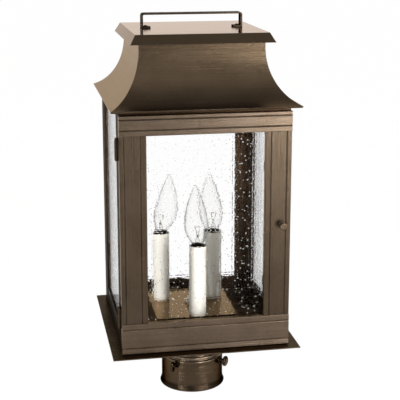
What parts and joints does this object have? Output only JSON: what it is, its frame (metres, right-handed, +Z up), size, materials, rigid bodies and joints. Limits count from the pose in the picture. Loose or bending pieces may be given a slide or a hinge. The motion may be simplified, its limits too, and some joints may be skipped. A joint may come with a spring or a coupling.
{
  "type": "post lantern head",
  "caption": "Square sheet-brass post lantern head with a hinged glazed door, concave roof, strap handle, candle lamps inside and a round collar that slips over a post.",
  "frame": {"origin": "centre of the collar's bottom rim", "axes": "+Z up the lantern, the door faces -Y, the hinges are on the -X side"},
  "size_m": [0.2356, 0.2356, 0.4962],
  "materials": {
    "antique_brass": "dark antiqued brass, satin brushed",
    "seedy_glass": "clear glass with small seed bubbles and slight waves",
    "bulb_glass": "clear thin glass",
    "bulb_brass": "bright brass",
    "filament": "dull wire and glass",
    "ivory_sleeve": "ivory card-look sleeve, satin",
    "socket_black": "black moulded",
    "zinc_steel": "zinc plated",
    "grommet_rubber": "black rubber"
  },
  "bodies": {
    "frame": {"post_collar": "antique_brass", "collar_screw_nuts": "antique_brass", "base_plate": "antique_brass", "corner_post_back_left": "antique_brass", "corner_post_back_right": "antique_brass", "corner_post_front_left": "antique_brass", "corner_post_front_right": "antique_brass", "bottom_rail_left": "antique_brass", "bottom_rail_right": "antique_brass", "bottom_rail_back": "antique_brass", "top_rail_left": "antique_brass", "top_rail_right": "antique_brass", "top_rail_back": "antique_brass", "front_header": "antique_brass", "front_sill": "antique_brass", "glass_clips": "antique_brass", "roof_panel_front": "antique_brass", "roof_panel_right": "antique_brass", "roof_panel_back": "antique_brass", "roof_panel_left": "antique_brass", "roof_cap": "antique_brass", "carry_handle": "antique_brass", "handle_rivets": "antique_brass", "socket_pan": "antique_brass", "hinge_leaves_frame": "antique_brass", "hinge_pins": "antique_brass", "glass_left": "seedy_glass", "glass_right": "seedy_glass", "glass_back": "seedy_glass", "wire_grommet": "grommet_rubber", "threaded_nipples": "zinc_steel", "lock_nuts": "zinc_steel", "socket_brackets": "zinc_steel", "lamp_sockets": "socket_black", "candle_sleeve_front": "ivory_sleeve", "candle_sleeve_right": "ivory_sleeve", "candle_sleeve_left": "ivory_sleeve"},
    "door": {"door_bottom_rail": "antique_brass", "door_top_rail": "antique_brass", "door_stile_left": "antique_brass", "door_stile_right": "antique_brass", "door_glass": "seedy_glass", "door_glass_clips": "antique_brass", "hinge_leaves_door": "antique_brass", "latch_bush": "antique_brass"},
    "latch": {"latch_knob": "antique_brass", "latch_tongue": "antique_brass"},
    "thumbscrew_front_left": {"thumbscrew_front_left": "antique_brass"},
    "thumbscrew_front_right": {"thumbscrew_front_right": "antique_brass"},
    "thumbscrew_back_right": {"thumbscrew_back_right": "antique_brass"},
    "thumbscrew_back_left": {"thumbscrew_back_left": "antique_brass"},
    "bulb_front": {"bulb_glass_front": "bulb_glass", "bulb_base_front": "bulb_brass", "bulb_filament_front": "filament"},
    "bulb_right": {"bulb_glass_right": "bulb_glass", "bulb_base_right": "bulb_brass", "bulb_filament_right": "filament"},
    "bulb_left": {"bulb_glass_left": "bulb_glass", "bulb_base_left": "bulb_brass", "bulb_filament_left": "filament"}
  },
  "joints": [
    {"name": "door_swing", "type": "hinge", "parent": "frame", "child": "door", "pos_m": [-0.1079, -0.09815, 0.2429], "axis": [0, 0, -1], "range_deg": [0, 170]},
    {"name": "latch_turn", "type": "hinge", "parent": "door", "child": "latch", "pos_m": [0.0941, -0.1014, 0.2432], "axis": [0, -1, 0], "range_deg": [0, 90]},
    {"name": "thumbscrew_front_left_travel", "type": "slide", "parent": "frame", "child": "thumbscrew_front_left", "axis": [-0.6428, -0.766, 0], "range_m": [-0.0024, 0.005]},
    {"name": "thumbscrew_front_right_travel", "type": "slide", "parent": "frame", "child": "thumbscrew_front_right", "axis": [0.766, -0.6428, 0], "range_m": [-0.0024, 0.005]},
    {"name": "thumbscrew_back_right_travel", "type": "slide", "parent": "frame", "child": "thumbscrew_back_right", "axis": [0.6428, 0.766, 0], "range_m": [-0.0024, 0.005]},
    {"name": "thumbscrew_back_left_travel", "type": "slide", "parent": "frame", "child": "thumbscrew_back_left", "axis": [-0.766, 0.6428, 0], "range_m": [-0.0024, 0.005]},
    {"name": "bulb_front_lift", "type": "slide", "parent": "frame", "child": "bulb_front", "axis": [0, 0, 1], "range_m": [0, 0.028]},
    {"name": "bulb_right_lift", "type": "slide", "parent": "frame", "child": "bulb_right", "axis": [0, 0, 1], "range_m": [0, 0.028]},
    {"name": "bulb_left_lift", "type": "slide", "parent": "frame", "child": "bulb_left", "axis": [0, 0, 1], "range_m": [0, 0.028]}
  ]
}
